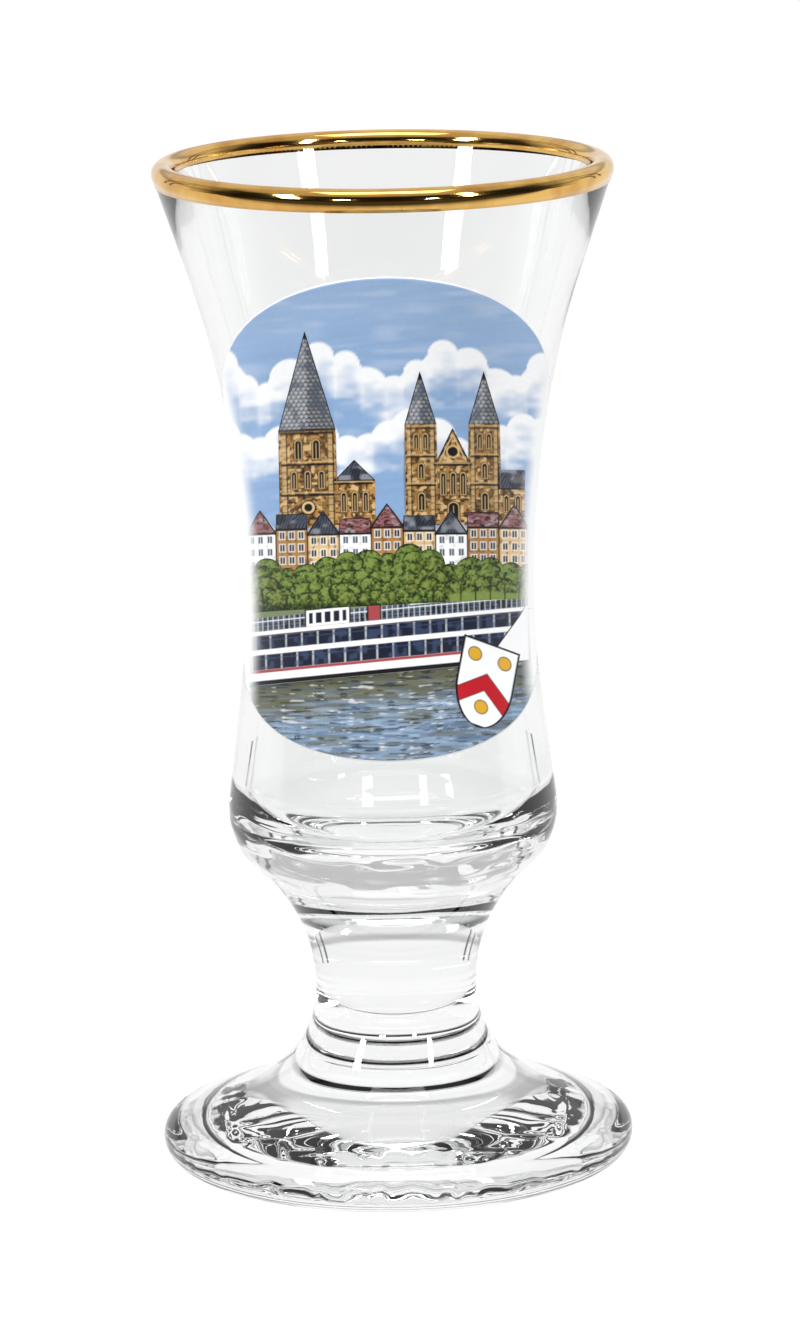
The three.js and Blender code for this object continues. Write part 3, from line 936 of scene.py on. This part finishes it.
    @staticmethod
    def slates(p: Paint, shape: Array, roof: Tone, seed: int) -> None:
        """Fill a roof with slanting pen lines, or with short dashes if it is tiled, and outline it."""
        p.lay(shape, roof)
        if roof is Tone.SLATE:
            wander = mottle(p.u / 0.7 + 9, p.v / 0.9 + 9, seed) - 0.5
            line = np.abs(((p.u - 0.45 * p.v + 0.5 * wander) / 0.34) % 1 - 0.5) * 0.34
            p.lay(np.maximum(shape, line - 0.055), Tone.INK, 0.85)
            p.fleck(0.70, 0.8, 0.5, seed, Tone.SLATE_PALE, 0.45, 0.3, shape)
            p.fleck(0.64, 0.5, 0.7, seed + 20, Tone.INK, 0.6, 0.2, shape)
        else:
            p.fleck(0.62, 0.34, 0.16, seed, Tone.TILE_DARK, 0.9, 0.1, shape)
            p.fleck(0.72, 0.5, 0.3, seed + 20, Tone.SLATE_PALE, 0.45, 0.2, shape)
            p.fleck(0.74, 0.3, 0.16, seed + 40, Tone.INK, 0.8, 0.1, shape)
        p.edge(shape, 0.17)

    def houses(self) -> list[tuple[float, float, float, float]]:
        """From, to, eaves and ridge of each house, in turn gabled and level topped."""
        width = (self.town_to - self.town_from) / self.house_count
        row = []
        for k in range(self.house_count):
            u0, eaves = self.town_from + k * width, 69.6 + 0.4 * math.sin(1.9 * k)
            row.append((u0, u0 + width, eaves, eaves + (1.3 if k % 2 else 2.2)))
        return row

    def paint_roofs(self, u: Array, v: Array) -> Array:
        """Slate and red roofs over ochre and white walls with rows of windows."""
        p = Paint(u, v, Tone.STONE)
        p.grain(0.7, 0.15, 61)
        for k, (u0, u1, eaves, ridge) in enumerate(self.houses()):
            wall = (Tone.WHITE, Tone.STONE, Tone.STONE_PALE)[k % 3]
            roof = Tone.TILE if k % 4 in (0, 3) else Tone.SLATE
            face = p.box(u0, u1, 60, ridge)
            p.lay(face, wall)
            p.fleck(0.7, 0.3, 0.4, 62 + k, Tone.STONE_DARK, 0.25 if wall is Tone.WHITE else 0.6,
                    0.1, face)
            for x in u0 + (u1 - u0) * np.array([0.2, 0.5, 0.8]):
                for level in (eaves - 1.3, eaves - 2.6, eaves - 3.9):
                    pane = p.box(x - 0.24, x + 0.24, level, level + 0.7)
                    p.lay(pane - 0.1, Tone.WHITE, 0.8)
                    p.lay(pane, Tone.SLATE if wall is Tone.WHITE else Tone.INK)
                    p.lay(p.stroke(x, level, x, level + 0.7, 0.07), Tone.WHITE, 0.8)
            top = p.box(u0, u1, eaves - 0.3, ridge) if k % 2 else p.tent(u0, u1, eaves - 0.3, ridge)
            self.slates(p, top, roof, 80 + k)
            p.lay(p.stroke(u0, eaves - 0.35, u1, eaves - 0.35, 0.16), Tone.INK)
            p.lay(p.stroke(u0, 60, u0, eaves, 0.14), Tone.INK)
        return p.rgb

    def roofs(self) -> None:
        """Row of houses between the churches and the trees."""
        shapes = [(u0, u1, ridge) if k % 2 else (u0, u1, eaves, ridge)
                  for k, (u0, u1, eaves, ridge) in enumerate(self.houses())]
        u = spans(-14.58, 14.38, 400)
        low = self.tree_top(u) - 0.3
        high = np.maximum(self.skyline(u, shapes, 66.0), low + 0.3)
        piece = self.sheet.coat_piece("roof_row", u, low, high, 116, 3, self.paint_roofs)
        self.add(piece, "roofs_print", "roof_enamel", FiredEnamel("roof_enamel"))

    def paint_trees(self, u: Array, v: Array) -> Array:
        """Rounded crowns from the back row to the front, each lit from above and inked round."""
        p = Paint(u, v, Tone.LEAF_DARK)
        rng = np.random.default_rng(71)
        curl = mottle(u / 0.34 + 5, v / 0.34 + 5, 72) - 0.5
        for drop, size, count in ((0.0, 1.7, 15), (0.9, 1.35, 21), (2.0, 1.2, 25), (3.1, 1.0, 29),
                                  (4.2, 0.9, 32), (5.2, 0.85, 33)):
            for k in range(count):
                x = -15 + 30 * (k + 0.3 + 0.5 * rng.random()) / count
                r = size * (0.75 + 0.35 * rng.random())
                y = float(self.tree_top(np.array([x]))[0]) - r + 0.1 - drop + 0.3 * (rng.random() - 0.5)
                if y < 61.9:
                    continue
                crown = p.disc(x, y, r) + 0.36 * curl
                inside = np.clip(0.5 - crown / 0.12, 0, 1)
                p.lay(crown - 0.12, Tone.LEAF_DARK, 1.0, soft=0.14)
                p.lay(crown + 0.16, Tone.LEAF, 1.0, soft=0.4)
                core = p.disc(x + 0.1 * r, y - 0.05 * r, 0.62 * r) + 1.2 * curl
                p.lay(core, Tone.LEAF_BROWN, 0.6 * inside * rng.random(), soft=0.5)
                lit = p.disc(x - 0.3 * r, y + 0.4 * r, 0.45 * r) + 1.2 * curl
                p.lay(lit, Tone.LEAF_PALE, 0.8 * inside, soft=0.4)
                shade = p.disc(x + 0.45 * r, y - 0.5 * r, 0.5 * r) + 0.9 * curl
                p.lay(shade, Tone.LEAF_DARK, 0.75 * inside, soft=0.5)
        p.fleck(0.64, 0.18, 0.18, 73, Tone.LEAF_DARK, 0.55, 0.14)
        p.fleck(0.68, 0.20, 0.20, 74, Tone.LEAF_PALE, 0.6, 0.14)
        meadow = np.maximum(v - 62.9 + 0.3 * p.spots(0.8, 0.4, 76), 6.0 - u)
        p.lay(meadow, Tone.LEAF_PALE, 0.85, soft=0.3)
        for x in spans(7.2, 13.2, 4):
            p.lay(p.stroke(x, 62.0, x, 63.6, 0.16), Tone.BROWN_INK, 0.9)
        p.lay(v - 62.0 + 0.4 * p.spots(0.5, 0.5, 75), Tone.LEAF_DARK, 0.7, soft=0.4)
        p.edge(v - self.tree_top(u), 0.2, Tone.LEAF_DARK)
        return p.rgb

    def deck_edge(self, u: Array) -> Array:
        """Upper edge of the boat."""
        return self.deck + self.deck_slope * u

    def trees(self) -> None:
        """Row of trees along the bank."""
        u = spans(-14.65, 14.5, 400)
        piece = self.sheet.coat_piece("tree_row", u, self.deck_edge(u) - 0.4, self.tree_top(u), 118, 4,
                                      self.paint_trees)
        self.add(piece, "tree_print", "leaf_enamel", FiredEnamel("leaf_enamel"))

    def paint_boat(self, u: Array, v: Array) -> Array:
        """Plain river boat: white hull, two rows of dark windows, rails, a cabin and a funnel."""
        p = Paint(u, v, Tone.HULL)
        w = v - self.hull_slope * u
        up = Paint(u, w, Tone.HULL)
        p.lay(up.box(-20, 20, 59.9, 63.4), Tone.LEAF, 0.9)
        rails = up.box(-20, 20, 59.95, 61.55)
        p.lay(rails, Tone.NAVY_PALE, 0.8)
        p.fleck(0.60, 0.26, 0.6, 81, Tone.NAVY, 0.9, 0.12, rails)
        for rail in (60.45, 60.8, 61.15):
            p.lay(np.maximum(rails, np.abs(w - rail) - 0.05), Tone.INK if rail < 61 else Tone.HULL, 0.9)
        p.lay(np.maximum(rails, np.abs((u / 0.55) % 1 - 0.5) * 0.55 - 0.05), Tone.HULL, 0.55)
        canopy = up.box(2.0, 10.5, 61.35, 61.95)
        p.lay(canopy, Tone.WHITE)
        p.edge(canopy, 0.12, Tone.SLATE)
        cabin = up.box(-8.5, -4.0, 60.1, 61.9)
        p.lay(cabin, Tone.WHITE)
        p.lay(np.maximum(cabin + 0.35, np.abs(((u + 8.5) / 0.9) % 1 - 0.5) * 0.9 - 0.3), Tone.NAVY)
        p.edge(cabin, 0.16, Tone.INK)
        funnel = up.box(-2.2, -0.9, 60.1, 62.1)
        p.lay(funnel, Tone.DULL_RED)
        p.edge(funnel, 0.14, Tone.INK)
        p.lay(up.box(-20, 20, 59.72, 60.15), Tone.HULL)
        p.lay(up.box(-20, 20, 59.6, 59.74), Tone.NAVY)
        for low, high, shift in ((58.25, 59.62, 0.0), (56.15, 57.72, 0.5)):
            band = up.box(-20, 20, low, high)
            p.lay(band, Tone.NAVY)
            post = np.abs(((u + shift) / 1.62) % 1 - 0.5) * 1.62 - 0.09
            p.lay(np.maximum(band, post), Tone.SLATE_PALE, 0.95)
            p.fleck(0.60, 0.5, 0.6, 85, Tone.NAVY_PALE, 0.6, 0.2, band + 0.1)
            p.lay(np.maximum(band, np.abs(w - high + 0.42) - 0.05), Tone.NAVY_PALE, 0.7)
        p.lay(up.box(-20, 20, 55.85, 56.15), Tone.DULL_RED)
        p.lay(up.box(-20, 20, 54.6, 55.08), Tone.INK)
        bow = 12.6 + 0.8 * (w - 58.5)
        p.lay(np.maximum(bow - u, w - 60.2), Tone.HULL)
        p.lay(np.maximum(np.abs(u - bow) - 0.08, w - 60.3), Tone.NAVY)
        return p.rgb

    def boat(self) -> None:
        """River boat on the water."""
        u = spans(-14.7, 14.3, 410)
        low = self.hull_foot + self.hull_slope * u
        high = self.deck_edge(u)
        piece = self.sheet.coat_piece("riverboat", u, low, high, 116, 5, self.paint_boat)
        self.add(piece, "riverboat_print", "boat_enamel", FiredEnamel("boat_enamel"))

    # -- shield
    def shield(self) -> None:
        """Small plain shield with a red chevron and three gold discs, leaning to the left."""
        half, tall, straight = 2.85, 8.4, 0.5
        s, t = np.meshgrid(np.linspace(-1, 1, 101), np.linspace(1, 0, 141), indexing="ij")
        bowed = np.clip((t - straight) / (1 - straight), 0, 1)
        x = s * half * np.sqrt(np.maximum(1 - bowed**2, 0.0004))
        y = -tall * t
        u = 10.35 + x - 0.2 * tall * t
        v = 57.4 - 0.38 * x - tall * t

        def paint(_u: Array, _v: Array) -> Array:
            p = Paint(x, y, Tone.WHITE)
            chevron = np.abs(y + 3.9 + 0.8 * np.abs(x)) - 0.85
            p.lay(chevron, Tone.RED)
            p.edge(chevron, 0.1, Tone.INK, 0.9)
            for cx, cy in ((-1.5, -1.5), (1.5, -1.5), (0.0, -6.4)):
                p.lay(p.disc(cx, cy, 0.66), Tone.GOLD)
                p.edge(p.disc(cx, cy, 0.66), 0.1, Tone.BROWN_INK, 0.9)
            rim = np.minimum((1 - np.abs(s)) * half * np.sqrt(np.maximum(1 - bowed**2, 0.0004)),
                             np.minimum(t, 1 - t) * tall)
            p.lay(rim - 0.2, Tone.INK)
            return p.rgb

        piece = self.sheet.patch("shield", u, v, 6, paint)
        self.add(piece, "shield_print", "shield_enamel", FiredEnamel("shield_enamel"))

    def build(self) -> None:
        """Lay every coat in order."""
        self.underprint()
        self.sky()
        self.river()
        self.tower_church()
        self.twin_church()
        self.roofs()
        self.trees()
        self.boat()
        self.shield()


# ---- glass and gold ------------------------------------------------------------------------
@dataclass
class Vessel:
    """The fused clear body: foot, stem and bowl in one continuous skin.

    The ripples are in millimetres: chill wrinkles in the thick glass under the bowl, a rough ring
    under the foot and slow waves along the thin wall of the bowl.
    """

    outline: Outline
    segments: int = 288
    base_ripple: float = 0.10
    foot_ripple: float = 0.17
    wall_ripple: float = 0.05

    @staticmethod
    def wander(x: Array, y: Array, z: Array, size: float, seed: int, tall: float = 0.0) -> Array:
        """Uneven waves from -1 to 1: two sheets of soft patches crossed.

        Args:
            x: first level coordinate in millimetres.
            y: second level coordinate.
            z: height.
            size: width of a patch.
            seed: which patches.
            tall: height of a patch, the same as its width when 0.
        """
        w = z / (tall or size)
        a = mottle(x / size + 0.3 * w + 20, w + 20, seed)
        b = mottle(y / size - 0.3 * w + 20, w + 30, seed + 1)
        return a + b - 1

    def warp(self, r: Array, z: Array, turn: Array) -> tuple[Array, Array]:
        """Push the skin about by the ripples, and leave the edge of the foot and the rim alone."""
        x, y = r * np.cos(turn), r * np.sin(turn)
        base = np.exp(-((z - 34.0) / 5.0) ** 2)
        wave = self.wander(x, y, z, 4.5, 101, 1.5) + 0.5 * self.wander(x, y, z, 2.2, 103, 0.9)
        dr = self.base_ripple * base * wave
        upper = smooth(44, 60, z) * smooth(self.outline.height - 3, self.outline.height - 9, z)
        dr += self.wall_ripple * upper * self.wander(x, y, z, 7.0, 105)
        under = smooth(2.2, 1.2, z) * smooth(self.outline.foot_r - 2.6, self.outline.foot_r - 4.2, r)
        chop = self.wander(x, y, x * 0, 1.7, 107) + 0.6 * self.wander(y, x, x * 0, 0.9, 109)
        ring = np.exp(-((r - 17.2) / 2.0) ** 2)
        dz = self.foot_ripple * under * ring * (chop + 0.9)
        return np.maximum(r + dr, 0.3 * r), z + dz

    def build(self) -> bpy.types.Object:
        """Build the glass and dress it."""
        points, faces = revolve(self.outline.whole(), self.segments, False, self.warp)
        glass = make_mesh("glass_body", points, faces)
        glass.data.materials.append(ClearGlass().make())
        glass.visible_shadow = False
        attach(glass, "root")
        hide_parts("bowl", "stem", "foot")
        LOG.info("glass_body: %d faces", len(glass.data.polygons))
        return glass


@dataclass
class GoldRim:
    """The fired gold band over the mouth."""

    outline: Outline
    outside: float = 0.8
    inside: float = 0.7

    def build(self) -> bpy.types.Object:
        """Build the band and dress it."""
        points, faces = revolve(self.outline.gold_band(self.outside, self.inside), 256, True)
        rim = make_mesh("gold_band", points, faces)
        rim.data.materials.append(GoldLustre().make())
        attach(rim, "root")
        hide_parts("gold_rim")
        LOG.info("gold_band: %d faces", len(rim.data.polygons))
        return rim


# ---- studio --------------------------------------------------------------------------------
@dataclass(frozen=True)
class Lamp:
    """A rectangular light: place and size in metres, power in watts, roll in degrees."""

    name: str
    place: tuple[float, float, float]
    size: tuple[float, float]
    power: float
    roll: float = 0.0


@dataclass
class Studio:
    """Floor, light and camera."""

    lens: float = 177.2
    distance: float = 656.3
    height: float = 193.6
    aside: float = 0.97
    pitch: float = 12.105
    roll: float = -0.945
    backdrop: float = 0.93
    front: float = 0.02
    floor_half: float = 4.0
    floor_drop: float = 0.0002

    def camera(self) -> None:
        """Camera at the viewing angle."""
        data = bpy.data.cameras.new("camera")
        data.lens = self.lens
        data.clip_end = 20
        cam = bpy.data.objects.new("camera", data)
        turn = (Matrix.Rotation(math.radians(90 - self.pitch), 4, "X")
                @ Matrix.Rotation(math.radians(self.roll), 4, "Z"))
        cam.matrix_world = Matrix.Translation(
            Vector((self.aside, -self.distance, self.height)) * MM) @ turn
        bpy.context.scene.collection.objects.link(cam)
        bpy.context.scene.camera = cam

    def floor(self) -> None:
        """Pale floor, mostly self lit so that it runs into the white behind it."""
        mesh = bpy.data.meshes.new("floor")
        s, z = self.floor_half, -self.floor_drop
        mesh.from_pydata([(-s, -s, z), (s, -s, z), (s, s, z), (-s, s, z)], [], [(0, 1, 2, 3)])
        floor = bpy.data.objects.new("floor", mesh)
        bpy.context.scene.collection.objects.link(floor)
        material, shader = new_material("floor_paper")
        fill(shader, {"Base Color": (0.03, 0.03, 0.03, 1), "Roughness": 1.0, "Specular IOR Level": 0.0,
                      "Emission Strength": 1.0})
        tree, links = material.node_tree, material.node_tree.links
        place = add_node(tree, "ShaderNodeTexCoord")
        split = add_node(tree, "ShaderNodeSeparateXYZ")
        ramp = add_node(tree, "ShaderNodeMapRange", {
            "From Min": -0.16, "From Max": -0.04, "To Min": self.front, "To Max": self.backdrop})
        links.new(place.outputs["Object"], split.inputs["Vector"])
        links.new(split.outputs["Y"], ramp.inputs["Value"])
        links.new(self.seen_white(tree, ramp.outputs["Result"]), shader.inputs["Emission Color"])
        mesh.materials.append(material)
        floor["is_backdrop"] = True

    @staticmethod
    def seen_white(tree: bpy.types.NodeTree, colour: bpy.types.NodeSocket) -> bpy.types.NodeSocket:
        """White where it is looked at directly, and the given colour in glass, gold and enamel."""
        path = add_node(tree, "ShaderNodeLightPath")
        mix = add_node(tree, "ShaderNodeMix")
        mix.data_type = "RGBA"
        mix.inputs["B"].default_value = (1, 1, 1, 1)
        tree.links.new(colour, mix.inputs["A"])
        tree.links.new(path.outputs["Is Camera Ray"], mix.inputs["Factor"])
        return mix.outputs["Result"]

    def world(self) -> None:
        """White behind the glass, darker towards the viewer, so that edges and gold draw dark.

        Two ramps are multiplied: one from the viewer's side to the back, one from the horizon up
        with a grey band where the backdrop ends. Two narrow dark cards stand at each side, and a pale
        ceiling lightens whatever lies above it.
        """
        world = bpy.data.worlds.new("studio")
        bpy.context.scene.world = world
        world.use_nodes = True
        tree, links = world.node_tree, world.node_tree.links
        place = add_node(tree, "ShaderNodeTexCoord")
        split = add_node(tree, "ShaderNodeSeparateXYZ")
        links.new(place.outputs["Generated"], split.inputs["Vector"])
        half = add_node(tree, "ShaderNodeMath", {1: 0.5, 2: 0.5})
        half.operation = "MULTIPLY_ADD"
        links.new(split.outputs["Y"], half.inputs[0])
        side = add_node(tree, "ShaderNodeMath")
        side.operation = "ABSOLUTE"
        links.new(split.outputs["X"], side.inputs[0])
        across = self.shades(tree, half.outputs[0], (
            (0.40, self.front), (0.51, 0.07), (0.60, 0.45), (0.70, self.backdrop)))
        upward = self.shades(tree, split.outputs["Z"], (
            (0.20, 1.0), (0.245, 0.55), (0.30, 0.58), (0.37, 0.9)))
        ceiling = self.shades(tree, split.outputs["Z"], ((0.62, 0.0), (0.80, 0.62)))
        cards = self.shades(tree, side.outputs[0], (
            (0.66, 1.0), (0.67, 0.1), (0.69, 0.1), (0.70, 1.0),
            (0.75, 1.0), (0.76, 0.1), (0.775, 0.1), (0.785, 1.0)))
        lit = self.blend(tree, "MULTIPLY", across, upward)
        lit = self.blend(tree, "MULTIPLY", lit, cards)
        lit = self.blend(tree, "LIGHTEN", lit, ceiling)
        links.new(self.seen_white(tree, lit), tree.nodes["Background"].inputs["Color"])

    @staticmethod
    def blend(tree: bpy.types.NodeTree, how: str, a: bpy.types.NodeSocket,
              b: bpy.types.NodeSocket) -> bpy.types.NodeSocket:
        """Combine two colours by a named blend at full strength."""
        mix = add_node(tree, "ShaderNodeMix", {"Factor": 1.0})
        mix.data_type = "RGBA"
        mix.blend_type = how
        tree.links.new(a, mix.inputs["A"])
        tree.links.new(b, mix.inputs["B"])
        return mix.outputs["Result"]

    @staticmethod
    def shades(tree: bpy.types.NodeTree, value: bpy.types.NodeSocket,
               stops: tuple[tuple[float, float], ...]) -> bpy.types.NodeSocket:
        """A ramp of greys over a value, from pairs of position and grey."""
        ramp = add_node(tree, "ShaderNodeValToRGB")
        marks = ramp.color_ramp.elements
        while len(marks) < len(stops):
            marks.new(0.5)
        for mark, (position, shade) in zip(marks, stops):
            mark.position, mark.color = position, (shade, shade, shade, 1)
        tree.links.new(value, ramp.inputs["Fac"])
        return ramp.outputs["Color"]

    @staticmethod
    def lamp(lamp: Lamp) -> None:
        """Hang a soft rectangular light and aim it at the middle of the glass."""
        data = bpy.data.lights.new(lamp.name, "AREA")
        data.shape = "RECTANGLE"
        data.size, data.size_y = lamp.size
        data.energy = lamp.power
        light = bpy.data.objects.new(lamp.name, data)
        aim = (Vector((0, 0, 0.06)) - Vector(lamp.place)).to_track_quat("-Z", "Y").to_matrix()
        aim = aim @ Matrix.Rotation(math.radians(lamp.roll), 3, "Z")
        light.matrix_world = Matrix.Translation(lamp.place) @ aim.to_4x4()
        light.visible_camera = False
        bpy.context.scene.collection.objects.link(light)

    def build(self) -> None:
        """Set everything up."""
        self.camera()
        self.floor()
        self.world()
        for lamp in (
            Lamp("window_left", (-0.72, -0.57, 0.62), (0.15, 0.60), 9, 22),
            Lamp("window_right", (0.70, -0.68, 0.62), (0.11, 0.60), 7.5, -6),
            Lamp("spark_left", (-0.34, -0.95, 0.34), (0.14, 0.05), 1.2),
            Lamp("spark_right", (0.42, -0.95, 0.34), (0.10, 0.05), 1.0),
            Lamp("ceiling", (0.0, -0.1, 1.2), (0.7, 0.5), 4),
        ):
            self.lamp(lamp)
        bpy.context.scene.view_settings.view_transform = "Standard"


def main() -> None:
    """Build the studio, the glass, its rim and its picture."""
    logging.basicConfig(level=logging.INFO, format="%(name)s %(message)s")
    outline = Outline()
    Studio().build()
    Vessel(outline).build()
    GoldRim(outline).build()
    Picture(Sheet(outline)).build()
    bpy.context.view_layer.update()


if __name__ == "__main__":
    main()
